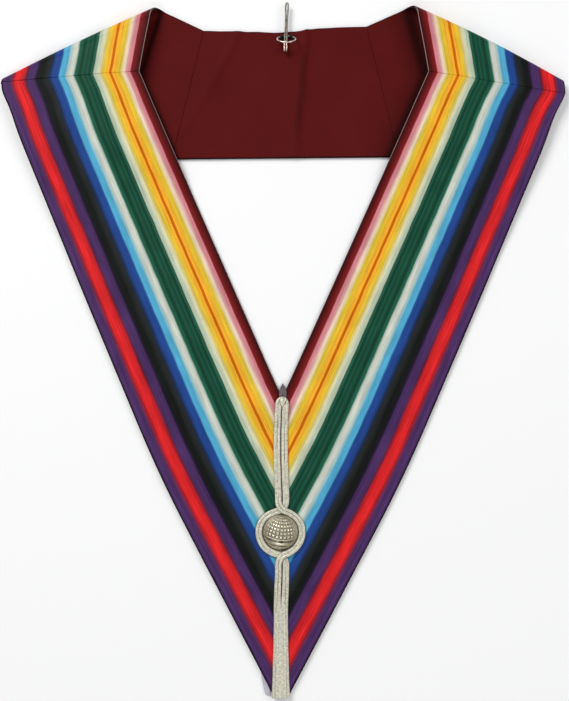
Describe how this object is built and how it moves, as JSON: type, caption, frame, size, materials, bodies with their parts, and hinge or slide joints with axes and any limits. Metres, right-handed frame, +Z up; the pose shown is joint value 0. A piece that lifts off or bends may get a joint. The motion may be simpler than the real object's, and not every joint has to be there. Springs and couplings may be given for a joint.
{
  "type": "regalia collar",
  "caption": "Wide V-shaped striped ribbon collar with a plain lining, folded at the shoulders and laid flat, with a doubled braid, a domed button and a small neck ring and hook.",
  "frame": {"origin": "bottom centre of the bounding box, on the surface that the collar lies on", "axes": "+X to the right seen from above, +Y from the point of the V towards the neck, +Z up"},
  "size_m": [0.4214, 0.5084, 0.0164],
  "materials": {
    "ribbon": "woven ribbon with lengthwise coloured stripes, soft satin sheen",
    "lining": "plain matt cotton lining",
    "braid": "silver-white flat braid with two raised ridges",
    "button_metal": "cast metal with a raised lattice, aged",
    "tab": "matt grey tape",
    "fitting_metal": "bright drawn wire",
    "thread": "dark sewing thread"
  },
  "bodies": {
    "root": {"ribbon_front_left": "ribbon", "ribbon_front_right": "ribbon", "ribbon_shoulder_left": "ribbon", "ribbon_shoulder_right": "ribbon", "ribbon_back": "ribbon", "lining_front_left": "lining", "lining_front_right": "lining", "lining_shoulder_left": "lining", "lining_shoulder_right": "lining", "lining_back": "lining", "braid": "braid", "button": "button_metal", "point_tab": "tab", "neck_ring": "fitting_metal", "neck_hook": "fitting_metal", "ring_thread_left": "thread", "ring_thread_right": "thread"}
  },
  "joints": []
}
